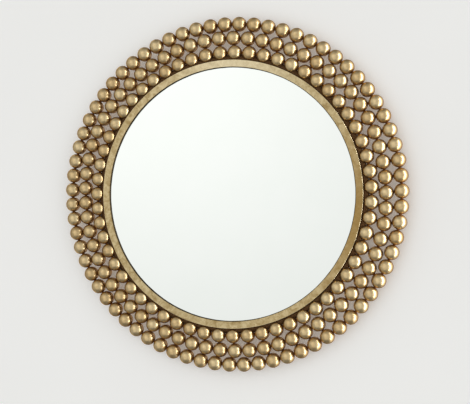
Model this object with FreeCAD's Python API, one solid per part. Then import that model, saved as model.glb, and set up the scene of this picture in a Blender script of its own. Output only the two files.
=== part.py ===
"""Round wall mirror in a rolled metal hoop, with three closed rings of hollow metal balls brazed round it.

Every piece is first built lying on its back: x to the right, y up the wall, z out of the wall.
stand_up() then turns it, so that +Z is up, +X is to the right and the glass faces -Y.
The origin is on the wall, behind the centre of the glass. All sizes are in millimetres and degrees.
"""

import FreeCAD
import Part
import math
import os

from FreeCAD import Vector

# Balls: three closed rings, each ball brazed to its neighbours
ball_diameter = 30.0
ball_wall = 1.2
outer_ball_count = 71
middle_ball_count = 65
inner_ball_count = 59
braze_gap = 0.5
outer_first_angle = 0.82
middle_first_angle = 0.28
inner_first_angle = 2.68
nesting_wave = 1.2
ring_rise = 2.0

# Rolled hoop: a flat face round the glass and a wall behind its outer edge
hoop_front = 36.0
hoop_depth = 26.0
hoop_face_width = 15.5
hoop_face_thickness = 3.0
hoop_wall_thickness = 3.0
hoop_edge_round = 0.8
hoop_above_outer_balls = 14.4
ball_seat_gap = 0.2

# What the hoop holds, from the front to the back
gasket_thickness = 1.0
gasket_inset = 0.6
glass_thickness = 4.0
glass_seam = 0.6
card_thickness = 3.0
board_thickness = 6.0
board_edge_chamfer = 1.0
pack_edge_gap = 1.5

# Tabs that keep the pack in the hoop
tab_count = 8
tab_first_angle = 22.5
tab_width = 14.0
tab_thickness = 1.2
tab_foot = 12.0
tab_height = 8.0
tab_inside_bend = 0.8
tab_wall_gap = 0.15

# Plates welded to the back edge of the hoop
plate_thickness = 3.0
plate_corner_radius = 6.0
plate_edge_inset = 0.5
hanger_plate_width = 60.0
hanger_plate_foot = 62.0
bumper_plate_width = 50.0
bumper_plate_reach = 28.0

# Hangers: a strap with a curl, and a wire D-ring that swings in it
hanger_spacing = 330.0
hanger_inset = 27.2
strap_width = 15.0
strap_thickness = 1.5
strap_length = 48.0
strap_end_radius = 5.0
strap_upper_hole = 25.0
strap_lower_hole = 40.0
curl_gap_angle = 15.0
ring_wire = 3.0
ring_bar_clearance = 0.3
ring_inner_width = 18.0
ring_corner_radius = 3.0
ring_side_length = 2.5

# Rubber bumpers that keep the lower half off the wall
bumper_spacing = 330.0
bumper_inset = 24.2
bumper_base_diameter = 20.0
bumper_wall_diameter = 17.0
bumper_recess_diameter = 10.0
bumper_recess_depth = 4.4
washer_diameter = 9.4
washer_thickness = 0.8

# Pan-head screws, one size throughout
screw_diameter = 4.0
screw_head_diameter = 8.0
screw_head_height = 2.2
screw_head_round = 0.9
screw_cross_width = 1.0
screw_cross_length = 4.4
screw_cross_depth = 1.2
screw_end_reach = 1.0
thread_gap = 0.05
screw_hole_clearance = 0.2

# Places worked out from the sizes above
ball_radius = ball_diameter / 2
half_pitch = (ball_diameter + braze_gap) / 2
outer_ring_radius = half_pitch / math.sin(math.pi / outer_ball_count)
middle_ring_radius = half_pitch / math.sin(math.pi / middle_ball_count)
inner_ring_radius = half_pitch / math.sin(math.pi / inner_ball_count)
outer_ball_height = hoop_front - hoop_above_outer_balls
middle_ball_height = outer_ball_height + ring_rise
inner_ball_height = middle_ball_height + ring_rise

hoop_outer_radius = inner_ring_radius - ball_radius - ball_seat_gap
hoop_inner_radius = hoop_outer_radius - hoop_wall_thickness
glass_view_radius = hoop_outer_radius - hoop_face_width
hoop_back = hoop_front - hoop_depth
pack_radius = hoop_inner_radius - pack_edge_gap

glass_front = hoop_front - hoop_face_thickness - gasket_thickness
glass_back = glass_front - glass_thickness
card_back = glass_back - card_thickness
board_back = card_back - board_thickness

hanger_height = math.sqrt((hoop_outer_radius - hanger_inset) ** 2 - (hanger_spacing / 2) ** 2)
bumper_drop = math.sqrt((hoop_outer_radius - bumper_inset) ** 2 - (bumper_spacing / 2) ** 2)
plate_back = hoop_back - plate_thickness
strap_back = plate_back - strap_thickness
ring_wire_radius = ring_wire / 2
curl_inner_radius = ring_wire_radius + ring_bar_clearance
curl_outer_radius = curl_inner_radius + strap_thickness
ring_bar_height = strap_back - curl_inner_radius
screw_shank_radius = screw_diameter / 2
tapped_hole_radius = screw_shank_radius + thread_gap
clear_hole_radius = screw_shank_radius + screw_hole_clearance

UP = Vector(0, 0, 1)


def stand_up(shape):
    """The shape turned from lying on its back to hanging on the wall."""
    standing = shape.copy()
    standing.rotate(Vector(0, 0, 0), Vector(1, 0, 0), 90)
    return standing


def save(name, solids):
    """One file for a sub-part: one solid, or the separate solids of a set of equal pieces."""
    standing = [stand_up(solid) for solid in solids]
    shape = standing[0] if len(standing) == 1 else Part.makeCompound(standing)
    shape.exportStep("parts/" + name + ".step")
    print(name, len(solids), "solid(s),", round(sum(s.Volume for s in solids)), "mm3")


def disc(radius, bottom, top):
    return Part.makeCylinder(radius, top - bottom, Vector(0, 0, bottom), UP)


def hole(x, y, radius, bottom, top):
    """A drill standing 1 mm past both faces of what it is cut from."""
    past = 1.0
    return Part.makeCylinder(radius, top - bottom + 2 * past, Vector(x, y, bottom - past), UP)


def ring_of_revolution(outline):
    """Turns a closed outline of (radius, height) points round the middle axis."""
    points = [Vector(radius, 0, height) for radius, height in outline]
    face = Part.Face(Part.makePolygon(points + points[:1]))
    return face.revolve(Vector(0, 0, 0), UP, 360)


def circles_at(shape, radius, height):
    """The circular edges of a turned shape that have this radius and height."""
    found = []
    for edge in shape.Edges:
        if isinstance(edge.Curve, Part.Circle):
            if abs(edge.Curve.Radius - radius) < 0.01 and abs(edge.Curve.Center.z - height) < 0.01:
                found.append(edge)
    return found


def edges_centred_at(shape, point):
    return [edge for edge in shape.Edges if edge.CenterOfMass.distanceToPoint(point) < 0.01]


def hollow_ball():
    """A ball pressed from two sheet cups, welded and ground to one shell."""
    return Part.makeSphere(ball_radius).cut(Part.makeSphere(ball_radius - ball_wall))


def ball_ring(count, first_angle, radius, height, wave=0.0, crest_angle=0.0):
    """A closed ring of balls, whose radius may swing in and out six times round."""
    balls = []
    waves_round = middle_ball_count - inner_ball_count
    for i in range(count):
        angle = math.radians(first_angle + 360.0 * i / count)
        swing = wave * math.cos(waves_round * (angle - math.radians(crest_angle)))
        ball = hollow_ball()
        ball.translate(Vector((radius + swing) * math.cos(angle), (radius + swing) * math.sin(angle), height))
        balls.append(ball)
    return balls


def middle_crest_angle():
    """Where a ball of the middle ring stands in line with one of the inner ring, which pushes it outwards."""
    turn = middle_ball_count * middle_first_angle - inner_ball_count * inner_first_angle
    return turn / (middle_ball_count - inner_ball_count)


def rim_hoop():
    outline = [
        (glass_view_radius, hoop_front),
        (hoop_outer_radius, hoop_front),
        (hoop_outer_radius, hoop_back),
        (hoop_inner_radius, hoop_back),
        (hoop_inner_radius, hoop_front - hoop_face_thickness),
        (glass_view_radius, hoop_front - hoop_face_thickness),
    ]
    hoop = ring_of_revolution(outline)
    edges = circles_at(hoop, glass_view_radius, hoop_front) + circles_at(hoop, hoop_outer_radius, hoop_front)
    return hoop.makeFillet(min(hoop_edge_round, 0.45 * hoop_face_thickness), edges)


def glass_gasket():
    inner_radius = glass_view_radius + gasket_inset
    whole = disc(pack_radius, glass_front, glass_front + gasket_thickness)
    return whole.cut(disc(inner_radius, glass_front - 1, glass_front + gasket_thickness + 1))


def mirror_glass():
    glass = disc(pack_radius, glass_back, glass_front)
    edges = circles_at(glass, pack_radius, glass_front) + circles_at(glass, pack_radius, glass_back)
    return glass.makeChamfer(min(glass_seam, 0.3 * glass_thickness), edges)


def backing_card():
    return disc(pack_radius, card_back, glass_back)


def back_board():
    board = disc(pack_radius, board_back, card_back)
    return board.makeChamfer(min(board_edge_chamfer, 0.4 * board_thickness),
                             circles_at(board, pack_radius, board_back))


def retaining_tab():
    """A strip spot-welded to the inside of the hoop and bent down over the board."""
    back = hoop_inner_radius - tab_wall_gap
    foot_bottom = board_back - tab_thickness
    top = board_back - tab_height
    outline = [
        Vector(back, 0, board_back),
        Vector(back, 0, top),
        Vector(back - tab_thickness, 0, top),
        Vector(back - tab_thickness, 0, foot_bottom),
        Vector(back - tab_foot, 0, foot_bottom),
        Vector(back - tab_foot, 0, board_back),
    ]
    face = Part.Face(Part.makePolygon(outline + outline[:1]))
    tab = face.extrude(Vector(0, tab_width, 0))
    tab.translate(Vector(0, -tab_width / 2, 0))
    outer_bend = edges_centred_at(tab, Vector(back, 0, board_back))
    tab = tab.makeFillet(tab_inside_bend + tab_thickness, outer_bend)
    inner_bend = edges_centred_at(tab, Vector(back - tab_thickness, 0, foot_bottom))
    return tab.makeFillet(tab_inside_bend, inner_bend)


def retaining_tabs():
    tabs = []
    for i in range(tab_count):
        tab = retaining_tab()
        tab.rotate(Vector(0, 0, 0), UP, tab_first_angle + 360.0 * i / tab_count)
        tabs.append(tab)
    return tabs


def rounded_blank(x_middle, y_low, y_high, width, thickness, bottom, radius, sides):
    """A flat plate with upright edges rounded at its lower or upper end, or both."""
    blank = Part.makeBox(width, y_high - y_low, thickness, Vector(x_middle - width / 2, y_low, bottom))
    ends = {"low": y_low, "high": y_high}
    edges = []
    for edge in blank.Edges:
        first, last = edge.Vertexes[0].Point, edge.Vertexes[1].Point
        upright = abs(first.z - last.z) > thickness / 2
        if upright and any(abs(first.y - ends[side]) < 0.01 for side in sides):
            edges.append(edge)
    return blank.makeFillet(min(radius, 0.45 * width), edges)


def hoop_plate(x_middle, y_edge, y_sign, width):
    """A plate under the hoop's back edge, whose outer end follows the hoop and is welded to it."""
    reach = hoop_outer_radius + 1.0
    low, high = (y_edge, reach) if y_sign > 0 else (-reach, -y_edge)
    inner_side = ["low"] if y_sign > 0 else ["high"]
    blank = rounded_blank(x_middle, low, high, width, plate_thickness, plate_back,
                          plate_corner_radius, inner_side)
    return blank.common(disc(hoop_outer_radius - plate_edge_inset, plate_back, hoop_back))


def strap_hole_heights():
    return [hanger_height - strap_upper_hole, hanger_height - strap_lower_hole]


def hanger_plate(x_middle):
    plate = hoop_plate(x_middle, hanger_height - hanger_plate_foot, 1, hanger_plate_width)
    for y in strap_hole_heights():
        plate = plate.cut(hole(x_middle, y, tapped_hole_radius, plate_back, hoop_back))
    return plate


def bumper_plate(x_middle):
    plate = hoop_plate(x_middle, bumper_drop - bumper_plate_reach, -1, bumper_plate_width)
    return plate.cut(hole(x_middle, -bumper_drop, tapped_hole_radius, plate_back, hoop_back))


def hanger_strap(x_middle):
    """A strip with two screw holes, whose upper end is curled back round the bar of the D-ring."""
    flat = rounded_blank(x_middle, hanger_height - strap_length, hanger_height, strap_width,
                         strap_thickness, strap_back, strap_end_radius, ["low"])
    for y in strap_hole_heights():
        flat = flat.cut(hole(x_middle, y, clear_hole_radius, strap_back, plate_back))
    along = Vector(1, 0, 0)
    start = Vector(x_middle - strap_width / 2, hanger_height, ring_bar_height)
    tube = Part.makeCylinder(curl_outer_radius, strap_width, start, along)
    mouth = math.radians(curl_gap_angle)
    far = 2 * curl_outer_radius
    wedge_points = [
        Vector(start.x, start.y, start.z),
        Vector(start.x, start.y - far, start.z),
        Vector(start.x, start.y - far, start.z + far),
        Vector(start.x, start.y, start.z + far),
    ]
    lip_points = [
        Vector(start.x, start.y, start.z),
        Vector(start.x, start.y - far, start.z),
        Vector(start.x, start.y - far * math.cos(mouth), start.z - far * math.sin(mouth)),
    ]
    for points in (wedge_points, lip_points):
        wedge = Part.Face(Part.makePolygon(points + points[:1])).extrude(Vector(strap_width, 0, 0))
        tube = tube.cut(wedge)
    bore = Part.makeCylinder(curl_inner_radius, strap_width + 2, start - along, along)
    return flat.fuse(tube).cut(bore).removeSplitter()


def hanger_ring(x_middle):
    """A D-shaped ring of round wire, hanging down from its straight bar."""
    half = (ring_inner_width + ring_wire) / 2
    corner = ring_corner_radius
    arc_y = -corner - ring_side_length
    diagonal = corner * math.sqrt(0.5)

    def at(x, y):
        return Vector(x_middle + x, hanger_height + y, ring_bar_height)

    def corner_arc(x_sign):
        outer, bar_end = at(x_sign * half, -corner), at(x_sign * (half - corner), 0)
        bend = at(x_sign * (half - corner + diagonal), -corner + diagonal)
        return bar_end, bend, outer

    left_bar, left_bend, left_side = corner_arc(-1)
    right_bar, right_bend, right_side = corner_arc(1)
    edges = [
        Part.LineSegment(left_bar, right_bar).toShape(),
        Part.Arc(right_bar, right_bend, right_side).toShape(),
        Part.LineSegment(right_side, at(half, arc_y)).toShape(),
        Part.Arc(at(half, arc_y), at(0, arc_y - half), at(-half, arc_y)).toShape(),
        Part.LineSegment(at(-half, arc_y), left_side).toShape(),
        Part.Arc(left_side, left_bend, left_bar).toShape(),
    ]
    section = Part.Wire(Part.makeCircle(ring_wire_radius, left_bar, Vector(1, 0, 0)))
    return Part.Solid(Part.Wire(edges).makePipeShell([section], True, False))


def screw(x, y, seat, length):
    """A pan-head screw whose head stands on the seat towards the wall."""
    head_end = seat - screw_head_height
    head = Part.makeCylinder(screw_head_diameter / 2, screw_head_height, Vector(x, y, head_end), UP)
    head = head.makeFillet(min(screw_head_round, 0.45 * screw_head_height),
                           circles_at(head, screw_head_diameter / 2, head_end))
    shank = Part.makeCylinder(screw_shank_radius, length, Vector(x, y, seat), UP)
    body = head.fuse(shank)
    for turn in (0, 90):
        slot = Part.makeBox(screw_cross_length, screw_cross_width, screw_cross_depth,
                            Vector(-screw_cross_length / 2, -screw_cross_width / 2, 0))
        slot.rotate(Vector(0, 0, 0), UP, turn)
        slot.translate(Vector(x, y, head_end))
        body = body.cut(slot)
    return body.removeSplitter()


def bumper(x_middle):
    """A rubber foot, wider at the plate, with a recess that hides the screw head."""
    foot = Part.makeCone(bumper_wall_diameter / 2, bumper_base_diameter / 2, plate_back,
                         Vector(x_middle, -bumper_drop, 0), UP)
    recess = Part.makeCylinder(bumper_recess_diameter / 2, bumper_recess_depth + 1,
                               Vector(x_middle, -bumper_drop, -1), UP)
    return foot.cut(recess).cut(hole(x_middle, -bumper_drop, clear_hole_radius, 0, plate_back))


def washer(x_middle):
    whole = Part.makeCylinder(washer_diameter / 2, washer_thickness,
                              Vector(x_middle, -bumper_drop, bumper_recess_depth - washer_thickness), UP)
    return whole.cut(hole(x_middle, -bumper_drop, clear_hole_radius, 0, bumper_recess_depth))


def main():
    os.makedirs("parts", exist_ok=True)
    save("rim_hoop", [rim_hoop()])
    save("glass_gasket", [glass_gasket()])
    save("mirror_glass", [mirror_glass()])
    save("backing_card", [backing_card()])
    save("back_board", [back_board()])
    save("retaining_tabs", retaining_tabs())

    save("balls_outer_ring", ball_ring(outer_ball_count, outer_first_angle, outer_ring_radius,
                                       outer_ball_height))
    save("balls_middle_ring", ball_ring(middle_ball_count, middle_first_angle, middle_ring_radius,
                                        middle_ball_height, nesting_wave, middle_crest_angle()))
    save("balls_inner_ring", ball_ring(inner_ball_count, inner_first_angle, inner_ring_radius,
                                       inner_ball_height))

    strap_screw_length = strap_thickness + plate_thickness + screw_end_reach
    bumper_seat = bumper_recess_depth - washer_thickness
    bumper_screw_length = hoop_back - bumper_seat + screw_end_reach
    strap_screws, bumper_screws, washers = [], [], []
    for side, sign in (("left", -1), ("right", 1)):
        hanger_x = sign * hanger_spacing / 2
        bumper_x = sign * bumper_spacing / 2
        save("hanger_plate_" + side, [hanger_plate(hanger_x)])
        save("hanger_strap_" + side, [hanger_strap(hanger_x)])
        save("hanger_ring_" + side, [hanger_ring(hanger_x)])
        save("bumper_plate_" + side, [bumper_plate(bumper_x)])
        save("wall_bumper_" + side, [bumper(bumper_x)])
        strap_screws += [screw(hanger_x, y, strap_back, strap_screw_length) for y in strap_hole_heights()]
        bumper_screws.append(screw(bumper_x, -bumper_drop, bumper_seat, bumper_screw_length))
        washers.append(washer(bumper_x))
    save("strap_screws", strap_screws)
    save("bumper_screws", bumper_screws)
    save("bumper_washers", washers)
    print("D-ring bars at height", round(hanger_height, 3), "bumpers at drop", round(bumper_drop, 3))


main()
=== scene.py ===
"""Looks for a round wall mirror with three rings of hollow metal balls round a rolled metal hoop.

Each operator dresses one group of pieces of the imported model, and the last one sets up the studio.
x runs to the right, y into the wall and z up, in metres, with the origin behind the centre of the glass.
"""

import math

import bpy
import numpy as np
from mathutils import Matrix, Vector


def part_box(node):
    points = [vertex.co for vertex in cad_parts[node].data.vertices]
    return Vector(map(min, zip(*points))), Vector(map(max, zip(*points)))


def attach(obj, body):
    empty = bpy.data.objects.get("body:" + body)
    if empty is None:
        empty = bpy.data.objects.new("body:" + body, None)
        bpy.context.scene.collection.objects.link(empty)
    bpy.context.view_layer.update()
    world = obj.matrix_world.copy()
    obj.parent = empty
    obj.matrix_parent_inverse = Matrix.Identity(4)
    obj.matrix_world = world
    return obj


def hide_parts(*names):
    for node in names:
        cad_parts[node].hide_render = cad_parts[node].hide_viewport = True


bl_info = {
    "name": "Girandole Mirror",
    "version": (1, 0, 0),
    "blender": (4, 5, 0),
    "location": "View3D > Sidebar > Mirror",
    "description": "Dresses the packed solids of a round beaded wall mirror and sets up its studio",
    "category": "Object",
}

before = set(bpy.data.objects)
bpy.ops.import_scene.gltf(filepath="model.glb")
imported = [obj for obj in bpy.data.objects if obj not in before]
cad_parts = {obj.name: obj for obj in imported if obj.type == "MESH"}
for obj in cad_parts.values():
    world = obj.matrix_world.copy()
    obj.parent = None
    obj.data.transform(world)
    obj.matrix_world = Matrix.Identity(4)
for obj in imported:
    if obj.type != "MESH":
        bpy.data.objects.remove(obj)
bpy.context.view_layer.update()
MM = 0.001

# The same sizes as in the solids' source, in millimetres and degrees
RINGS = {
    "balls_outer_ring": {"count": 71, "first_angle": 0.82, "wave": 0.0},
    "balls_middle_ring": {"count": 65, "first_angle": 0.28, "wave": 1.2},
    "balls_inner_ring": {"count": 59, "first_angle": 2.68, "wave": 0.0},
}
BRAZE_GAP = 0.5
WAVES_ROUND = 6
BALL_SEAT_GAP = 0.2
HOOP_FACE_WIDTH = 15.5
HOOP_SHEET = 3.0

# Level of the light that comes from everywhere
ROOM_LEVEL = 0.26
# Soft sources of the studio: azimuth from and to and its fade, elevation from and to and its fade, in degrees,
# and strength. Azimuth 0 is straight in front of the glass and 90 to the right along the wall.
SOFT_SOURCES = (
    (-36, 15, 8, -36, 34, 12, 0.40),  # broad, in front: the middles of the balls, and the glass
    (-62, -19, 21, 8, 34, 20, 0.27),  # faint, above and to the left: the upper left of the glass
    (36, 60, 6, -42, 48, 14, 0.32),  # upright, to the right: the soft side of each streak on the balls
    (94, 140, 10, -55, 55, 15, 1.0),  # behind the wall plane, to the right: the rims of the balls
    (-95, 95, 15, -30, 66, 24, 0.19),  # the front half of the room
    (-360, 360, 1, -50, 50, 14, 0.09),  # the walls all round, brighter than ceiling and floor
    (155, 200, 20, -50, 50, 20, 0.45),  # the rest are for views from behind
    (-200, -162, 14, -50, 50, 20, 0.45),
    (-142, -124, 7, -38, 46, 12, 1.6),
)
# The wall and the floor glow by this share of their colour, because the softbox doesn't light them
STAGE_GLOW = 0.145


# ---------------------------------------------------------------- helpers


def linear_colour(hex_code):
    """An sRGB hex colour, such as B08A4E, as linear red, green, blue and alpha."""
    channels = [int(hex_code[i:i + 2], 16) / 255 for i in (0, 2, 4)]
    linear = [c / 12.92 if c <= 0.04045 else ((c + 0.055) / 1.055) ** 2.4 for c in channels]
    return (*linear, 1.0)


def add_node(tree, kind, settings=None, inputs=None, stops=()):
    """Adds a node. An input takes a plain value, a socket, or a node for its first output; stops are for a ramp."""
    node = tree.nodes.new(kind)
    for name, value in (settings or {}).items():
        setattr(node, name, value)
    for name, value in (inputs or {}).items():
        socket = node.inputs[name] if isinstance(name, int) else next(
            s for s in node.inputs if s.enabled and s.name == name)
        if isinstance(value, bpy.types.Node):
            value = next(s for s in value.outputs if s.enabled)
        if isinstance(value, bpy.types.NodeSocket):
            tree.links.new(value, socket)
        else:
            socket.default_value = value
    for element, (position, colour) in zip(node.color_ramp.elements if stops else (), stops):
        element.position, element.color = position, linear_colour(colour)
    return node


def new_material(name):
    """An empty node material, its tree, and the place on the piece in metres for its patterns."""
    material = bpy.data.materials.new(name)
    material.use_nodes = True
    tree = material.node_tree
    tree.nodes.clear()
    return material, tree, add_node(tree, "ShaderNodeTexCoord").outputs["Object"]


def per_mm(size):
    """The scale of a pattern whose blobs are size millimetres across."""
    return 1 / (size * MM)


def mesh_object(name, points, faces, material, smooth=True):
    """A mesh object at the origin from lists of points in metres and faces."""
    mesh = bpy.data.meshes.new(name)
    mesh.from_pydata([tuple(p) for p in points], [], [tuple(f) for f in faces])
    mesh.validate()
    mesh.update()
    mesh.materials.append(material)
    mesh.polygons.foreach_set("use_smooth", [smooth] * len(mesh.polygons))
    obj = bpy.data.objects.new(name, mesh)
    bpy.context.scene.collection.objects.link(obj)
    return obj


def point_values(obj, name, values):
    """Stores one value for each point of a mesh, for its material to read."""
    attribute = obj.data.attributes.new(name, "FLOAT", "POINT")
    attribute.data.foreach_set("value", np.asarray(values, np.float32))


def dress(node_name, material):
    """Gives a CAD node its material."""
    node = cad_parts[node_name]
    node.data.materials.clear()
    node.data.materials.append(material)


def settle(obj, body, slot, *replaced):
    """Lets a finished piece ride on its body, and hides the nodes that it stands for. The slot is not used."""
    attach(obj, body)
    if replaced:
        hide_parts(*replaced)


# ---------------------------------------------------------------- where the balls stand


def ring_centres(settings):
    """The centre of every ball in metres, ring by ring, worked out as in the solids' source."""
    radius = settings.ball_diameter / 2
    half_pitch = radius + BRAZE_GAP * MM / 2
    middle, inner = RINGS["balls_middle_ring"], RINGS["balls_inner_ring"]
    crest = math.radians((middle["count"] * middle["first_angle"]
                          - inner["count"] * inner["first_angle"]) / WAVES_ROUND)
    centres = {}
    for name, ring in RINGS.items():
        low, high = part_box(name)
        depth = (low.y + high.y) / 2
        ring_radius = half_pitch / math.sin(math.pi / ring["count"])
        points = []
        for i in range(ring["count"]):
            angle = math.radians(ring["first_angle"] + 360 * i / ring["count"])
            reach = ring_radius + ring["wave"] * MM * math.cos(WAVES_ROUND * (angle - crest))
            points.append((reach * math.cos(angle), depth, reach * math.sin(angle)))
        centres[name] = np.array(points)
    return centres


def hoop_radius():
    """Outer radius of the hoop in metres: the inner ring's balls are brazed to it."""
    low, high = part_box("balls_inner_ring")
    ball = (high.y - low.y) / 2
    ring = (2 * ball + BRAZE_GAP * MM) / 2 / math.sin(math.pi / RINGS["balls_inner_ring"]["count"])
    return ring - ball - BALL_SEAT_GAP * MM


def touching_pairs(centres, reach):
    """Pairs of balls whose centres are within reach of each other."""
    points = np.vstack(list(centres.values()))
    pairs = []
    for i, point in enumerate(points):
        distance = np.linalg.norm(points[i + 1:] - point, axis=1)
        pairs += [(point, points[i + 1 + j]) for j in np.nonzero(distance < reach)[0]]
    return pairs


# ---------------------------------------------------------------- settings shown in the sidebar


class BallSettings(bpy.types.PropertyGroup):
    """Sizes and colours of the balls"""
    ball_diameter: bpy.props.FloatProperty(
        name="Ball diameter", description="Outside diameter of a ball", default=0.030,
        min=0.005, subtype="DISTANCE", unit="LENGTH")
    segments: bpy.props.IntProperty(
        name="Segments", description="Faces along each side of a ball's six patches", default=12, min=4, max=24)
    metal: bpy.props.FloatVectorProperty(
        name="Metal", description="Colour of the rubbed antique brass", subtype="COLOR", size=4,
        default=linear_colour("DAC69B"), min=0, max=1)
    warm_metal: bpy.props.FloatVectorProperty(
        name="Warm metal", description="Colour of the balls that took the toning most", subtype="COLOR", size=4,
        default=linear_colour("CEB485"), min=0, max=1)
    # Brown patina at the joints, and painted shade at the joints and on the sides and back of each ball
    painted_shade_and_patina: bpy.props.FloatVectorProperty(
        name="Patina", description="Colour of the brown patina left at the joints and the sides", subtype="COLOR",
        size=4, default=linear_colour("7C4E2A"), min=0, max=1)
    roughness: bpy.props.FloatProperty(
        name="Roughness", description="Roughness of the rubbed metal", default=0.30, min=0, max=1,
        subtype="FACTOR")


class HoopSettings(bpy.types.PropertyGroup):
    """Size and colours of the hoop"""
    sections: bpy.props.IntProperty(
        name="Sections", description="Number of sections round the hoop", default=360, min=64, max=720)
    edge_round: bpy.props.FloatProperty(
        name="Outer rounding", description="Radius of the hoop's outer front edge", default=0.0008,
        subtype="DISTANCE", unit="LENGTH")
    inner_round: bpy.props.FloatProperty(
        name="Inner rounding", description="Radius of the front edge beside the glass", default=0.0016,
        subtype="DISTANCE", unit="LENGTH")
    leaf: bpy.props.FloatVectorProperty(
        name="Leaf", description="Main colour of the brass leaf", subtype="COLOR", size=4,
        default=linear_colour("D4C49B"), min=0, max=1)
    worn_leaf: bpy.props.FloatVectorProperty(
        name="Worn leaf", description="Colour where the leaf is rubbed thin", subtype="COLOR", size=4,
        default=linear_colour("B29B6B"), min=0, max=1)
    # Painted shade on the right of the hoop
    painted_shade_leaf: bpy.props.FloatVectorProperty(
        name="Toned leaf", description="Colour where the antique toning lies deepest", subtype="COLOR", size=4,
        default=linear_colour("9C7E48"), min=0, max=1)
    # Painted sheen at the top of the hoop, and wear on its polished outer edge
    pale_sheen_and_wear_leaf: bpy.props.FloatVectorProperty(
        name="Pale leaf", description="Colour where the toning is rubbed off", subtype="COLOR", size=4,
        default=linear_colour("EFE3C0"), min=0, max=1)
    # Painted shade beside the glass and down the hoop's sides
    painted_shade_and_patina: bpy.props.FloatVectorProperty(
        name="Patina", description="Colour of the patina left in the corner beside the glass", subtype="COLOR",
        size=4, default=linear_colour("3A2F1E"), min=0, max=1)
    roughness: bpy.props.FloatProperty(
        name="Roughness", description="Roughness of the leafed face", default=0.42, min=0, max=1,
        subtype="FACTOR")


class GlassSettings(bpy.types.PropertyGroup):
    """Finish of the mirror glass"""
    silver: bpy.props.FloatVectorProperty(
        name="Silver", description="Tint of the silvered glass", subtype="COLOR", size=4,
        default=linear_colour("EBEFED"), min=0, max=1)
    haze: bpy.props.FloatVectorProperty(
        name="Haze", description="Tint in the faint clouds of the polish", subtype="COLOR", size=4,
        default=linear_colour("E8EDEA"), min=0, max=1)


class StudioSettings(bpy.types.PropertyGroup):
    """Camera, backdrop and light"""
    camera_azimuth: bpy.props.FloatProperty(
        name="Camera azimuth", description="Angle of the camera to the right of the mirror's axis",
        default=math.radians(15), subtype="ANGLE", unit="ROTATION")
    camera_distance: bpy.props.FloatProperty(
        name="Camera distance", description="Distance from the wall behind the glass to the camera",
        default=2.2, subtype="DISTANCE", unit="LENGTH")
    camera_height: bpy.props.FloatProperty(
        name="Camera height", description="Height of the camera against the centre of the glass",
        default=-0.035, subtype="DISTANCE", unit="LENGTH")
    lens: bpy.props.FloatProperty(
        name="Lens", description="Focal length for a sensor 36 mm wide", default=82.3,
        subtype="DISTANCE_CAMERA")
    softbox_level: bpy.props.FloatProperty(
        name="Softbox level", description="Brightness of the softbox beside the wall, where 1 is white",
        default=7.0, min=0)
    wall: bpy.props.FloatVectorProperty(
        name="Wall", description="Colour of the painted wall", subtype="COLOR", size=4,
        default=linear_colour("F6F7F6"), min=0, max=1)
    floor: bpy.props.FloatVectorProperty(
        name="Floor", description="Colour of the floor", subtype="COLOR", size=4,
        default=linear_colour("E4E3E0"), min=0, max=1)
    floor_height: bpy.props.FloatProperty(
        name="Floor height", description="Height of the floor below the centre of the glass",
        default=-1.5, subtype="DISTANCE", unit="LENGTH")


# ---------------------------------------------------------------- materials


def antique_brass_ball(settings):
    """Pressed steel balls, brass plated, toned brown and rubbed back, under a satin lacquer."""
    material, tree, place = new_material("antique_brass_plated_ball")
    tone = add_node(tree, "ShaderNodeAttribute", {"attribute_name": "ball_tone"}).outputs["Fac"]
    painted_shade_and_patina = add_node(tree, "ShaderNodeAttribute", {"attribute_name": "painted_shade_and_patina"}).outputs["Fac"]
    # No two balls took the toning alike, so each has its own tone between two brasses
    brass = add_node(tree, "ShaderNodeMix", {"data_type": "RGBA"}, {
        "Factor": tone, "A": tuple(settings.metal), "B": tuple(settings.warm_metal)})
    # Toning left in cloudy patches about 6 mm across mottles the highlight
    cloud = add_node(tree, "ShaderNodeTexNoise", inputs={
        "Vector": place, "Scale": per_mm(6), "Detail": 4.0, "Roughness": 0.6, "Distortion": 0.4})
    cloudy = add_node(tree, "ShaderNodeMapRange", inputs={
        "Value": cloud, "From Min": 0.35, "From Max": 0.7, "To Max": 0.5})
    mottled = add_node(tree, "ShaderNodeMix", {"data_type": "RGBA", "blend_type": "MULTIPLY"}, {
        "Factor": cloudy, "A": brass, "B": linear_colour("D6C4A4")})
    # Brown patina at the joints, and painted shade there and on the balls' sides
    colour = add_node(tree, "ShaderNodeMix", {"data_type": "RGBA"}, {
        "Factor": painted_shade_and_patina, "A": mottled, "B": tuple(settings.painted_shade_and_patina)})
    # The patina, and the painted shade laid with it, is duller than the rubbed metal
    rough = add_node(tree, "ShaderNodeMapRange", inputs={
        "Value": painted_shade_and_patina, "To Min": settings.roughness, "To Max": 0.5})
    # The polished sheet is faintly uneven, in waves about 4 mm across
    waves = add_node(tree, "ShaderNodeTexNoise", inputs={"Vector": place, "Scale": per_mm(4), "Detail": 2.0})
    relief = add_node(tree, "ShaderNodeBump", inputs={
        "Height": waves, "Distance": 0.09 * MM, "Strength": 0.5})
    shader = add_node(tree, "ShaderNodeBsdfPrincipled", inputs={
        "Base Color": colour, "Metallic": 1.0, "Roughness": rough, "Normal": relief,
        "Specular Tint": linear_colour("8A6A44"),
        "Coat Weight": 0.3, "Coat Roughness": 0.3, "Coat IOR": 1.4})
    add_node(tree, "ShaderNodeOutputMaterial", inputs={"Surface": shader})
    return material


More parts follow.
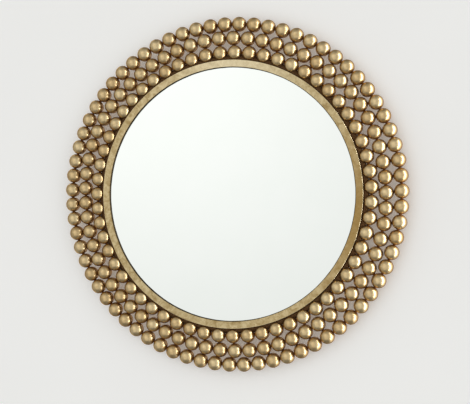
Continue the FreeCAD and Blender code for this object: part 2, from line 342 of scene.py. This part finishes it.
def brazing_metal(name, toning_and_shade, bare, roughness):
    """Brass filler, left brown and grainy by the heat and the toning; darker colours given make it painted shade."""
    material, tree, place = new_material(name)
    # Scale and flux marks about 1.2 mm across
    grain = add_node(tree, "ShaderNodeTexNoise", inputs={"Vector": place, "Scale": per_mm(1.2), "Detail": 3.0})
    colour = add_node(tree, "ShaderNodeValToRGB", inputs={"Fac": grain}, stops=[(0.35, toning_and_shade), (0.7, bare)])
    relief = add_node(tree, "ShaderNodeBump", inputs={"Height": grain, "Distance": 0.1 * MM, "Strength": 0.6})
    shader = add_node(tree, "ShaderNodeBsdfPrincipled", inputs={
        "Base Color": colour, "Metallic": 1.0, "Roughness": roughness, "Normal": relief})
    add_node(tree, "ShaderNodeOutputMaterial", inputs={"Surface": shader})
    return material


def brass_leaf(settings, name):
    """Steel with brass leaf laid on by hand and rubbed, under a satin varnish."""
    material, tree, place = new_material(name)
    # Patches rubbed by the cloth are about 12 mm across
    patches = add_node(tree, "ShaderNodeTexNoise", inputs={
        "Vector": place, "Scale": per_mm(12), "Detail": 5.0, "Roughness": 0.65, "Distortion": 0.6})
    rubbed = add_node(tree, "ShaderNodeMapRange", inputs={
        "Value": patches, "From Min": 0.38, "From Max": 0.66})
    leaf = add_node(tree, "ShaderNodeMix", {"data_type": "RGBA"}, {
        "Factor": rubbed, "A": tuple(settings.leaf), "B": tuple(settings.worn_leaf)})
    # Painted shade darkens the right of the hoop, and a painted sheen lightens its top; the polished edge is worn
    # paler
    toning_and_shade = add_node(tree, "ShaderNodeAttribute", {"attribute_name": "toning_and_shade"}).outputs["Fac"]
    pale = add_node(tree, "ShaderNodeAttribute", {"attribute_name": "painted_sheen_and_wear"}).outputs["Fac"]
    painted_shade_and_patina = add_node(tree, "ShaderNodeAttribute", {"attribute_name": "painted_shade_and_patina"}).outputs["Fac"]
    leaf = add_node(tree, "ShaderNodeMix", {"data_type": "RGBA"}, {
        "Factor": toning_and_shade, "A": leaf, "B": tuple(settings.painted_shade_leaf)})
    leaf = add_node(tree, "ShaderNodeMix", {"data_type": "RGBA"}, {
        "Factor": pale, "A": leaf, "B": tuple(settings.pale_sheen_and_wear_leaf)})
    # The leaf's own crinkle is finer, about 1.6 mm
    crinkle = add_node(tree, "ShaderNodeTexNoise", inputs={
        "Vector": place, "Scale": per_mm(1.6), "Detail": 4.0, "Roughness": 0.6})
    creased = add_node(tree, "ShaderNodeMapRange", inputs={
        "Value": crinkle, "From Min": 0.3, "From Max": 0.7, "To Max": 0.5})
    colour = add_node(tree, "ShaderNodeMix", {"data_type": "RGBA", "blend_type": "MULTIPLY"}, {
        "Factor": creased, "A": leaf, "B": linear_colour("D9CBB0")})
    # Painted shade beside the glass and down the hoop's sides
    colour = add_node(tree, "ShaderNodeMix", {"data_type": "RGBA"}, {
        "Factor": painted_shade_and_patina, "A": colour, "B": tuple(settings.painted_shade_and_patina)})
    # Rubbed patches are duller, and the polished outer edge is glossy
    rough = add_node(tree, "ShaderNodeMapRange", inputs={
        "Value": rubbed, "To Min": settings.roughness - 0.06, "To Max": settings.roughness + 0.1})
    polished = add_node(tree, "ShaderNodeAttribute", {"attribute_name": "polished"}).outputs["Fac"]
    rough = add_node(tree, "ShaderNodeMapRange", inputs={
        "Value": polished, "To Min": rough, "To Max": 0.24})
    coarse = add_node(tree, "ShaderNodeBump", inputs={
        "Height": patches, "Distance": 0.15 * MM, "Strength": 0.5})
    fine = add_node(tree, "ShaderNodeBump", inputs={
        "Height": crinkle, "Distance": 0.06 * MM, "Strength": 0.6, "Normal": coarse})
    # The face was brushed round the hoop, so that its gloss spreads across the lines
    around = add_node(tree, "ShaderNodeTangent", {"direction_type": "RADIAL", "axis": "Y"})
    shader = add_node(tree, "ShaderNodeBsdfPrincipled", inputs={
        "Base Color": colour, "Metallic": 1.0, "Roughness": rough, "Normal": fine,
        "Anisotropic": 0.75, "Anisotropic Rotation": 0.25, "Tangent": around})
    add_node(tree, "ShaderNodeOutputMaterial", inputs={"Surface": shader})
    return material


def silvered_glass(settings):
    """Float glass silvered on the back: a clean mirror with the glass's faint green."""
    material, tree, place = new_material("silvered_float_glass")
    # Polishing leaves barely visible clouds about 60 mm across
    haze = add_node(tree, "ShaderNodeTexNoise", inputs={"Vector": place, "Scale": per_mm(60), "Detail": 2.0})
    tint = add_node(tree, "ShaderNodeMix", {"data_type": "RGBA"}, {
        "Factor": haze, "A": tuple(settings.silver), "B": tuple(settings.haze)})
    shader = add_node(tree, "ShaderNodeBsdfPrincipled", inputs={
        "Base Color": tint, "Metallic": 1.0, "Roughness": 0.0})
    add_node(tree, "ShaderNodeOutputMaterial", inputs={"Surface": shader})
    return material


def black_rubber(name, colour, grain_mm):
    """Moulded black rubber: matt, with a fine grain that breaks the light up."""
    material, tree, place = new_material(name)
    grain = add_node(tree, "ShaderNodeTexNoise", inputs={
        "Vector": place, "Scale": per_mm(grain_mm), "Detail": 3.0})
    shade = add_node(tree, "ShaderNodeValToRGB", inputs={"Fac": grain}, stops=[(0.3, colour), (0.75, "2B2A29")])
    rough = add_node(tree, "ShaderNodeMapRange", inputs={"Value": grain, "To Min": 0.5, "To Max": 0.8})
    relief = add_node(tree, "ShaderNodeBump", inputs={"Height": grain, "Distance": 0.05 * MM, "Strength": 0.4})
    shader = add_node(tree, "ShaderNodeBsdfPrincipled", inputs={
        "Base Color": shade, "Roughness": rough, "IOR": 1.52, "Normal": relief})
    add_node(tree, "ShaderNodeOutputMaterial", inputs={"Surface": shader})
    return material


def kraft_card():
    """Brown card packing, dull and felted, with paper fibres about 0.8 mm wide."""
    material, tree, place = new_material("kraft_card")
    fibres = add_node(tree, "ShaderNodeTexNoise", inputs={
        "Vector": place, "Scale": per_mm(0.8), "Detail": 4.0, "Roughness": 0.7})
    colour = add_node(tree, "ShaderNodeValToRGB", inputs={"Fac": fibres}, stops=[(0.3, "A08560"), (0.7, "C2A67D")])
    relief = add_node(tree, "ShaderNodeBump", inputs={"Height": fibres, "Distance": 0.05 * MM, "Strength": 0.5})
    shader = add_node(tree, "ShaderNodeBsdfPrincipled", inputs={
        "Base Color": colour, "Roughness": 0.9, "IOR": 1.45, "Normal": relief})
    add_node(tree, "ShaderNodeOutputMaterial", inputs={"Surface": shader})
    return material


def painted_board():
    """Fibreboard rolled with matt black paint: cloudy, with the roller's orange peel."""
    material, tree, place = new_material("matt_black_fibreboard")
    clouds = add_node(tree, "ShaderNodeTexNoise", inputs={"Vector": place, "Scale": per_mm(70), "Detail": 3.0})
    colour = add_node(tree, "ShaderNodeValToRGB", inputs={"Fac": clouds}, stops=[(0.3, "2A2927"), (0.7, "3A3836")])
    # The stipple is about 1 mm wide, and is drawn 3 mm wide so that it shows in the render
    stipple = add_node(tree, "ShaderNodeTexNoise", inputs={
        "Vector": place, "Scale": per_mm(3), "Detail": 4.0, "Roughness": 0.6})
    rough = add_node(tree, "ShaderNodeMapRange", inputs={"Value": stipple, "To Min": 0.5, "To Max": 0.85})
    relief = add_node(tree, "ShaderNodeBump", inputs={"Height": stipple, "Distance": 0.15 * MM, "Strength": 0.6})
    shader = add_node(tree, "ShaderNodeBsdfPrincipled", inputs={
        "Base Color": colour, "Roughness": rough, "IOR": 1.5, "Normal": relief})
    add_node(tree, "ShaderNodeOutputMaterial", inputs={"Surface": shader})
    return material


def zinc_plate(name, light, dark, grain_mm, roughness):
    """Zinc-plated steel: pale blue-grey, with soft spangles and a satin gloss."""
    material, tree, place = new_material(name)
    spangle = add_node(tree, "ShaderNodeTexNoise", inputs={
        "Vector": place, "Scale": per_mm(grain_mm), "Detail": 3.0, "Roughness": 0.6})
    colour = add_node(tree, "ShaderNodeValToRGB", inputs={"Fac": spangle}, stops=[(0.3, dark), (0.7, light)])
    rough = add_node(tree, "ShaderNodeMapRange", inputs={
        "Value": spangle, "To Min": roughness - 0.08, "To Max": roughness + 0.12})
    relief = add_node(tree, "ShaderNodeBump", inputs={"Height": spangle, "Distance": 0.03 * MM, "Strength": 0.4})
    shader = add_node(tree, "ShaderNodeBsdfPrincipled", inputs={
        "Base Color": colour, "Metallic": 1.0, "Roughness": rough, "Normal": relief})
    add_node(tree, "ShaderNodeOutputMaterial", inputs={"Surface": shader})
    return material


def stage_paint(name, colour, shade):
    """Flat paint, faintly cloudy, seen only from its front so that views from behind stay open."""
    material, tree, place = new_material(name)
    # Roller marks in clouds about 300 mm across
    clouds = add_node(tree, "ShaderNodeTexNoise", inputs={"Vector": place, "Scale": per_mm(300), "Detail": 3.0})
    colour = add_node(tree, "ShaderNodeMix", {"data_type": "RGBA"}, {
        "Factor": clouds, "A": tuple(colour), "B": linear_colour(shade)})
    flat = add_node(tree, "ShaderNodeBsdfDiffuse", inputs={"Color": colour})
    glow = add_node(tree, "ShaderNodeEmission", inputs={"Color": colour, "Strength": STAGE_GLOW})
    paint = add_node(tree, "ShaderNodeAddShader", inputs={0: flat, 1: glow})
    clear = add_node(tree, "ShaderNodeBsdfTransparent")
    back = add_node(tree, "ShaderNodeNewGeometry").outputs["Backfacing"]
    one_sided = add_node(tree, "ShaderNodeMixShader", inputs={"Fac": back, 1: paint, 2: clear})
    add_node(tree, "ShaderNodeOutputMaterial", inputs={"Surface": one_sided})
    return material


# ---------------------------------------------------------------- shapes


def cube_sphere(segments):
    """Points and faces of a unit ball made of six square patches, so that it has no poles."""
    index, points, faces = {}, [], []

    def corner(axis, sign, a, b):
        spread = [math.tan((t / segments - 0.5) * math.pi / 2) for t in (a, b)]
        place = [0.0, 0.0, 0.0]
        place[axis] = sign
        place[(axis + 1) % 3], place[(axis + 2) % 3] = spread
        key = tuple(round(v, 6) for v in place)
        if key not in index:
            index[key] = len(points)
            points.append(Vector(place).normalized())
        return index[key]

    for axis in range(3):
        for sign in (-1.0, 1.0):
            for a in range(segments):
                for b in range(segments):
                    quad = [corner(axis, sign, a, b), corner(axis, sign, a + 1, b),
                            corner(axis, sign, a + 1, b + 1), corner(axis, sign, a, b + 1)]
                    faces.append(quad if sign > 0 else quad[::-1])
    return np.array([tuple(p) for p in points]), np.array(faces)


def lathe(profile, sections, wobble=None):
    """Turns a closed (radius, y) profile round the y axis; wobble(angle, radius, y) may shift a point."""
    points, faces = [], []
    n = len(profile)
    for s in range(sections):
        angle = 2 * math.pi * s / sections
        for radius, y in profile:
            if wobble:
                radius, y = wobble(angle, radius, y)
            points.append((radius * math.cos(angle), y, radius * math.sin(angle)))
        for p in range(n):
            here, there = s * n, ((s + 1) % sections) * n
            faces.append((here + p, here + (p + 1) % n, there + (p + 1) % n, there + p))
    return points, faces


def arc(centre, radius, start, end, steps):
    """Points of an arc in a (radius, y) profile, angles in degrees."""
    return [(centre[0] + radius * math.cos(math.radians(start + (end - start) * i / steps)),
             centre[1] + radius * math.sin(math.radians(start + (end - start) * i / steps)))
            for i in range(steps + 1)]


def spool(first, second, ball_radius, neck_radius, sides, steps):
    """A waisted plug of filler metal between two surfaces, whose ends are hidden inside them."""
    flare, cover, sink = 0.5, 0.9, 0.3 * MM
    axis = second - first
    length = np.linalg.norm(axis)
    axis = axis / length
    across = np.cross(axis, (0.0, 1.0, 0.0))
    across /= np.linalg.norm(across)
    other = np.cross(axis, across)
    bite = cover * ball_radius * (1 - math.cos(math.asin((1 + flare) * neck_radius / ball_radius)))
    half_gap = length / 2 - ball_radius
    reach = half_gap + bite + sink
    middle = (first + second) / 2
    points, faces = [], []
    for i in range(steps + 1):
        along = -reach + 2 * reach * i / steps
        radius = neck_radius * (1 + flare * (along / reach) ** 2)
        for s in range(sides):
            angle = 2 * math.pi * s / sides
            points.append(middle + axis * along
                          + (across * math.cos(angle) + other * math.sin(angle)) * radius)
    for i in range(steps):
        for s in range(sides):
            a, b = i * sides + s, i * sides + (s + 1) % sides
            faces.append((a, a + sides, b + sides, b))
    faces.append(tuple(range(sides)))
    faces.append(tuple(steps * sides + s for s in reversed(range(sides))))
    return points, faces


# ---------------------------------------------------------------- operators


class MIRROR_OT_balls(bpy.types.Operator):
    """Makes the three closed rings of balls, darker towards their joints with patina and painted shade, and with
    painted shade down their sides
    """
    bl_idname = "mirror.balls"
    bl_label = "Ball rings"

    def execute(self, context):
        settings = context.scene.mirror_balls
        centres = ring_centres(settings)
        everything = np.vstack(list(centres.values()))
        radius = settings.ball_diameter / 2
        unit_points, unit_faces = cube_sphere(settings.segments)
        material = antique_brass_ball(settings)
        hoop = hoop_radius()
        rng = np.random.default_rng(7)
        for name, places in centres.items():
            points, faces, tones, shade_and_patina_values = [], [], [], []
            for i, centre in enumerate(places):
                surface = centre + unit_points * radius
                points.append(surface)
                faces.append(unit_faces + i * len(unit_points))
                tones.append(np.full(len(unit_points), rng.uniform(0, 1)))
                shade_and_patina_values.append(self.painted_shade_and_patina(unit_points, centre, surface, everything, radius, hoop))
            obj = mesh_object(name + "_brass", np.vstack(points), np.vstack(faces), material)
            point_values(obj, "ball_tone", np.concatenate(tones))
            point_values(obj, "painted_shade_and_patina", np.concatenate(shade_and_patina_values))
            settle(obj, "mirror", "ball_metal", name)
        return {"FINISHED"}

    @staticmethod
    def painted_shade_and_patina(directions, centre, surface, everything, radius, hoop):
        """0 on the front, 1 in the corners between balls, where the patina lies and shade is painted; painted shade
        also darkens the sides, and the back less.
        """
        joint_reach, joint_falloff, beyond_neighbours = 4.5 * MM, 1.3, 2.3 * radius
        unshaded_facing, fade_to_side, side_shade, behind_facing_share = 0.70, 0.55, 0.7, 0.35
        gap = np.full(len(surface), 1.0)
        distance = np.linalg.norm(everything - centre, axis=1)
        for neighbour in everything[(distance > radius) & (distance < beyond_neighbours)]:
            gap = np.minimum(gap, np.linalg.norm(surface - neighbour, axis=1) - radius)
        gap = np.minimum(gap, np.abs(np.hypot(surface[:, 0], surface[:, 2]) - hoop))
        # Near the joints: brown patina, and painted shade where the balls meet
        near_joint = np.clip(1 - gap / joint_reach, 0, 1) ** joint_falloff
        # Painted shade on the sides of each ball, less on its back, none where it faces the front
        into_wall = directions[:, 1]
        facing = np.where(into_wall < 0, -into_wall, behind_facing_share * into_wall)
        side = np.clip((unshaded_facing - facing) / fade_to_side, 0, 1)
        return np.clip(np.maximum(near_joint, side_shade * side), 0, 1)


class MIRROR_OT_brazing(bpy.types.Operator):
    """Fills the joints between the balls, and between the inner ring and the hoop, with brazing metal"""
    bl_idname = "mirror.brazing"
    bl_label = "Brazed joints"

    def execute(self, context):
        settings = context.scene.mirror_balls
        centres = ring_centres(settings)
        hoop = hoop_radius()
        self.joints(centres, settings.ball_diameter / 2, hoop)
        self.fillet(centres["balls_inner_ring"][0][1], hoop)
        return {"FINISHED"}

    @staticmethod
    def joints(centres, radius, hoop):
        """A plug of filler wherever two balls touch, and wherever an inner ball touches the hoop."""
        neck_between_balls, neck_at_hoop, touching = 2.7 * MM, 4.0 * MM, 1.2 * MM
        points, faces = [], []

        def add(first, second, neck):
            new_points, new_faces = spool(np.array(first), np.array(second), radius, neck, sides=12, steps=6)
            faces.extend([tuple(i + len(points) for i in face) for face in new_faces])
            points.extend(new_points)

        for first, second in touching_pairs(centres, 2 * radius + touching):
            add(first, second, neck_between_balls)
        # The hoop's wall is met as if a ball of the same size stood inside it
        mirrored = hoop - radius
        for x, y, z in centres["balls_inner_ring"]:
            length = math.hypot(x, z)
            add((x, y, z), (x / length * mirrored, y, z / length * mirrored), neck_at_hoop)
        obj = mesh_object("brazed_joints", points, faces,
                          brazing_metal("toned_brazing_brass", "7A4A20", "AC7440", 0.5))
        settle(obj, "mirror", "ball_metal")

    @staticmethod
    def fillet(level, hoop):
        """Between the balls the filler runs on along the hoop, as an uneven fillet coloured nearly black: painted
        shade of the deep gap between the inner ring and the hoop.
        """
        width, half_depth, sink, unevenness = 11.5 * MM, 6.0 * MM, 0.4 * MM, 0.6 * MM
        sections = 8 * RINGS["balls_inner_ring"]["count"]

        def uneven(angle, radius, y):
            share = max(0.0, (radius - hoop) / width)
            return radius + share * unevenness * math.sin(83 * angle) * math.sin(31 * angle + 1), y

        profile = [(hoop - sink + width * math.cos(math.radians(a)),
                    level + half_depth * math.sin(math.radians(a))) for a in range(-90, 91, 20)]
        points, faces = lathe(profile, sections, uneven)
        # The fillet's nearly black colour is painted shade of the deep gap behind the inner ring
        obj = mesh_object("hoop_fillet", points, faces,
                          brazing_metal("brazing_brass_with_painted_shade", "38281A", "735436", 0.55))
        settle(obj, "mirror", "ball_metal")


class MIRROR_OT_hoop(bpy.types.Operator):
    """Turns the rolled hoop with soft edges and the slight waviness of hand work"""
    bl_idname = "mirror.hoop"
    bl_label = "Rolled hoop"

    def execute(self, context):
        settings = context.scene.mirror_hoop
        low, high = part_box("rim_hoop")
        front, back = low.y, high.y
        outer = hoop_radius()
        inner = outer - HOOP_SHEET * MM
        view = outer - HOOP_FACE_WIDTH * MM
        lip_back = front + HOOP_SHEET * MM
        r, inner_r = settings.edge_round, settings.inner_round
        small, face_steps = 0.3 * MM, 10
        front_zone, rim_zone = 2 * MM, 3 * MM
        profile = arc((view + inner_r, front + inner_r), inner_r, 180, 270, 8)
        profile += [(view + inner_r + (outer - view - inner_r - r) * i / face_steps, front)
                    for i in range(1, face_steps)]
        profile += arc((outer - r, front + r), r, 270, 360, 5)
        profile += arc((outer - small, back - small), small, 0, 90, 2)
        profile += arc((inner + small, back - small), small, 90, 180, 2)
        profile += [(inner, lip_back), (view + small, lip_back), (view, lip_back - small)]

        def wobble(angle, radius, y):
            if y > front + front_zone:
                return radius, y
            # The face is up to about 0.1 mm off flat, and its rim beside the glass is as much off round
            drift = (0.05 * math.sin(7 * angle + 1.0) + 0.04 * math.sin(23 * angle + 2.0)
                     + 0.03 * math.sin(61 * angle)) * MM
            edge = 0.12 * MM * math.sin(41 * angle + 0.5) * math.sin(17 * angle)
            inward = max(0.0, 1 - abs(radius - view) / rim_zone)
            return radius + edge * inward, y + abs(drift)

        points, faces = lathe(profile, settings.sections, wobble)
        obj = mesh_object("rolled_hoop", points, faces, brass_leaf(settings, "brass_leafed_hoop"))
        covered = 0.85  # Share of each rounding's width under the painted shade beside the glass and under the polish at the outer edge
        self.tone(obj, view + covered * inner_r, outer - covered * r, front)
        settle(obj, "mirror", "hoop_metal", "rim_hoop")
        return {"FINISHED"}

    @staticmethod
    def tone(obj, shade_within, polished_from, front):
        """Painted shade on the right of the hoop and a painted sheen at its top, its polished edge, and painted
        shade beside the glass and down the sides.
        """
        points = np.array([tuple(vertex.co) for vertex in obj.data.vertices])
        radius, depth = np.hypot(points[:, 0], points[:, 2]), points[:, 1] - front
        angle = np.degrees(np.arctan2(points[:, 2], points[:, 0]))

        def stretch(middle, spread):
            """1 at an angle round the hoop, fading to both sides of it."""
            return np.exp(-((angle - middle) / spread) ** 2)

        # Handling polishes the outer edge, all the way round
        on_edge = (radius > polished_from) & (depth < 0.7 * MM)
        # Painted shade on the rounding beside the glass, and down the sides behind the face
        beside_glass = np.clip((shade_within - radius) / (0.4 * MM) + 0.5, 0, 1)
        down_the_side = np.clip((depth - 0.8 * MM) / (1.0 * MM), 0, 0.8)
        # Painted shade on the right of the hoop; a painted sheen at its top, with the wear of the polished edge
        point_values(obj, "toning_and_shade", 0.85 * stretch(-8, 32))
        point_values(obj, "polished", on_edge.astype(float))
        point_values(obj, "painted_sheen_and_wear", np.maximum(0.8 * stretch(88, 26), 0.9 * on_edge))
        point_values(obj, "painted_shade_and_patina", np.maximum(beside_glass, down_the_side))


class MIRROR_OT_glass(bpy.types.Operator):
    """Silvers the glass and blackens the gasket in front of it"""
    bl_idname = "mirror.glass"
    bl_label = "Glass and gasket"

    def execute(self, context):
        dress("mirror_glass", silvered_glass(context.scene.mirror_glass))
        dress("glass_gasket", black_rubber("extruded_black_rubber", "0E0E0E", 1.0))
        return {"FINISHED"}


class MIRROR_OT_back(bpy.types.Operator):
    """Finishes the packing, the board and the tabs behind the glass"""
    bl_idname = "mirror.back"
    bl_label = "Board and tabs"

    def execute(self, context):
        dress("backing_card", kraft_card())
        dress("back_board", painted_board())
        dress("retaining_tabs", zinc_plate("bent_zinc_tab", "C9CCCB", "A9ACAB", 3.0, 0.38))
        return {"FINISHED"}


class MIRROR_OT_hangers(bpy.types.Operator):
    """Finishes the hanger plates, straps, D-rings and their screws"""
    bl_idname = "mirror.hangers"
    bl_label = "Hangers"

    def execute(self, context):
        plate = brass_leaf(context.scene.mirror_hoop, "brass_leafed_plate")
        zinc = zinc_plate("bright_zinc_hardware", "D6D8D4", "B4B7B4", 2.0, 0.3)
        for side in ("left", "right"):
            dress("hanger_plate_" + side, plate)
            dress("hanger_strap_" + side, zinc)
            dress("hanger_ring_" + side, zinc)
        dress("strap_screws", zinc)
        return {"FINISHED"}


class MIRROR_OT_bumpers(bpy.types.Operator):
    """Finishes the bumper plates, rubber bumpers, washers and screws"""
    bl_idname = "mirror.bumpers"
    bl_label = "Bumpers"

    def execute(self, context):
        plate = bpy.data.materials["brass_leafed_plate"]
        zinc = bpy.data.materials["bright_zinc_hardware"]
        rubber = black_rubber("moulded_black_rubber", "151515", 1.5)
        for side in ("left", "right"):
            dress("bumper_plate_" + side, plate)
            dress("wall_bumper_" + side, rubber)
        dress("bumper_screws", zinc)
        dress("bumper_washers", zinc)
        return {"FINISHED"}


class MIRROR_OT_studio(bpy.types.Operator):
    """Hangs the mirror on a pale wall above a pale floor, in soft light, with the camera to its right"""
    bl_idname = "mirror.studio"
    bl_label = "Studio"

    def execute(self, context):
        settings = context.scene.mirror_studio
        self.wall_and_floor(settings)
        self.light(context)
        self.side_box(context, settings)
        self.camera(context, settings)
        return {"FINISHED"}

    @staticmethod
    def wall_and_floor(settings):
        """A wall just behind the bumpers and a floor in front of it, which are only there to be looked at."""
        wide, tall, deep, down, behind = 12.0, 7.0, 8.0, settings.floor_height, 0.3 * MM
        wall = mesh_object("painted_wall", [
            (-wide, behind, down), (wide, behind, down), (wide, behind, tall), (-wide, behind, tall)],
            [(0, 1, 2, 3)], stage_paint("flat_wall_paint", settings.wall, "F2F3F2"), smooth=False)
        floor = mesh_object("pale_floor", [
            (-wide, -deep, down), (wide, -deep, down), (wide, deep, down), (-wide, deep, down)],
            [(0, 1, 2, 3)], stage_paint("pale_floor_paint", settings.floor, "DAD9D6"), smooth=False)
        # So light reaches the back of the mirror, and the metal reflects the studio
        for paint in (wall, floor):
            paint.visible_diffuse = paint.visible_glossy = paint.visible_transmission = False
            paint.visible_shadow = paint.visible_volume_scatter = False

    @staticmethod
    def light(context):
        """Soft light from the whole room, with broad sources in it. The camera itself sees a plain backdrop."""
        world = bpy.data.worlds.new("soft_studio")
        context.scene.world = world
        world.use_nodes = True
        tree = world.node_tree
        tree.nodes.clear()
        direction = add_node(tree, "ShaderNodeTexCoord").outputs["Generated"]
        parts = add_node(tree, "ShaderNodeSeparateXYZ", inputs={"Vector": direction})
        forward = add_node(tree, "ShaderNodeMath", {"operation": "MULTIPLY"}, {0: parts.outputs["Y"], 1: -1.0})
        turn = add_node(tree, "ShaderNodeMath", {"operation": "ARCTAN2"}, {0: parts.outputs["X"], 1: forward})
        rise = add_node(tree, "ShaderNodeMath", {"operation": "ARCSINE"}, {0: parts.outputs["Z"]})
        total = ROOM_LEVEL
        for low, high, soft, bottom, top, fade, strength in SOFT_SOURCES:
            sides = []
            for angle, start, stop, blur in ((turn, low, high, soft), (rise, bottom, top, fade)):
                start, stop, blur = math.radians(start), math.radians(stop), math.radians(blur)
                sides.append(add_node(tree, "ShaderNodeMapRange", {"interpolation_type": "SMOOTHSTEP"}, {
                    "Value": angle, "From Min": start - blur, "From Max": start}))
                sides.append(add_node(tree, "ShaderNodeMapRange", {"interpolation_type": "SMOOTHSTEP"}, {
                    "Value": angle, "From Min": stop, "From Max": stop + blur, "To Min": 1.0, "To Max": 0.0}))
            patch = strength
            for side in sides:
                patch = add_node(tree, "ShaderNodeMath", {"operation": "MULTIPLY"}, {0: side, 1: patch})
            total = add_node(tree, "ShaderNodeMath", {"operation": "ADD"}, {0: patch, 1: total})
        room = add_node(tree, "ShaderNodeBackground", inputs={"Color": linear_colour("FFFEFC"), "Strength": total})
        backdrop = add_node(tree, "ShaderNodeBackground", inputs={"Color": linear_colour("E9EAE9")})
        seen = add_node(tree, "ShaderNodeLightPath").outputs["Is Camera Ray"]
        mix = add_node(tree, "ShaderNodeMixShader", inputs={"Fac": seen, 1: room, 2: backdrop})
        add_node(tree, "ShaderNodeOutputWorld", inputs={"Surface": mix})

    @staticmethod
    def side_box(context, settings):
        """A tall softbox beside the wall on the right, which draws the bright streak down the right of each ball."""
        beside_wall, out_in_room, height = Vector((1.70, -0.16, 0.0)), Vector((1.49, -0.54, 0.0)), 3.2
        lamp = bpy.data.lights.new("side_softbox", "AREA")
        lamp.shape = "RECTANGLE"
        lamp.size, lamp.size_y = (out_in_room - beside_wall).length, height
        # A lamp of this many watts is as bright as a white surface times the level
        lamp.energy = settings.softbox_level * 4 * lamp.size * lamp.size_y
        softbox = bpy.data.objects.new("side_softbox", lamp)
        context.scene.collection.objects.link(softbox)
        softbox.location = (beside_wall + out_in_room) / 2
        # A lamp shines along its own -z, so these axes make -z point back at the mirror
        along, up = (beside_wall - out_in_room).normalized(), Vector((0.0, 0.0, 1.0))
        softbox.rotation_euler = Matrix((along, up, along.cross(up))).transposed().to_euler()
        # It only shows as a reflection, so that the wall stays evenly lit
        softbox.visible_camera = softbox.visible_diffuse = False

    @staticmethod
    def camera(context, settings):
        """The photograph's camera, to the right of the mirror and slightly below its middle."""
        data = bpy.data.cameras.new("photograph")
        data.sensor_width = 36
        data.lens = settings.lens
        camera = bpy.data.objects.new("photograph", data)
        context.scene.collection.objects.link(camera)
        angle, distance = settings.camera_azimuth, settings.camera_distance
        camera.location = (distance * math.sin(angle), -distance * math.cos(angle), settings.camera_height)
        # Aimed just right of and below the centre of the glass, where the photograph has its own middle
        aim = Vector((8.38, -20.0, -15.94)) * MM
        camera.rotation_euler = (aim - camera.location).to_track_quat("-Z", "Y").to_euler()
        context.scene.camera = camera
        context.scene.view_settings.view_transform = "Standard"


class MIRROR_PT_panel(bpy.types.Panel):
    """Lists the steps that dress the mirror"""
    bl_idname = "MIRROR_PT_panel"
    bl_label = "Girandole mirror"
    bl_space_type = "VIEW_3D"
    bl_region_type = "UI"
    bl_category = "Mirror"

    def draw(self, context):
        for operator in OPERATORS:
            self.layout.operator(operator.bl_idname)
        for group in SETTINGS:
            box = self.layout.box()
            settings = getattr(context.scene, group)
            for name in settings.__annotations__:
                box.prop(settings, name)


SETTINGS = {"mirror_balls": BallSettings, "mirror_hoop": HoopSettings,
            "mirror_glass": GlassSettings, "mirror_studio": StudioSettings}
OPERATORS = (MIRROR_OT_balls, MIRROR_OT_brazing, MIRROR_OT_hoop, MIRROR_OT_glass, MIRROR_OT_back,
             MIRROR_OT_hangers, MIRROR_OT_bumpers, MIRROR_OT_studio)


def register():
    """Adds the settings, the operators and the panel."""
    for name, group in SETTINGS.items():
        bpy.utils.register_class(group)
        setattr(bpy.types.Scene, name, bpy.props.PointerProperty(type=group))
    for cls in (*OPERATORS, MIRROR_PT_panel):
        bpy.utils.register_class(cls)


def unregister():
    """Takes away what register added."""
    for cls in reversed((*OPERATORS, MIRROR_PT_panel)):
        bpy.utils.unregister_class(cls)
    for name, group in reversed(SETTINGS.items()):
        delattr(bpy.types.Scene, name)
        bpy.utils.unregister_class(group)


def main():
    """Runs every step in turn."""
    register()
    bpy.ops.mirror.balls()
    bpy.ops.mirror.brazing()
    bpy.ops.mirror.hoop()
    bpy.ops.mirror.glass()
    bpy.ops.mirror.back()
    bpy.ops.mirror.hangers()
    bpy.ops.mirror.bumpers()
    bpy.ops.mirror.studio()


if __name__ == "__main__":
    main()
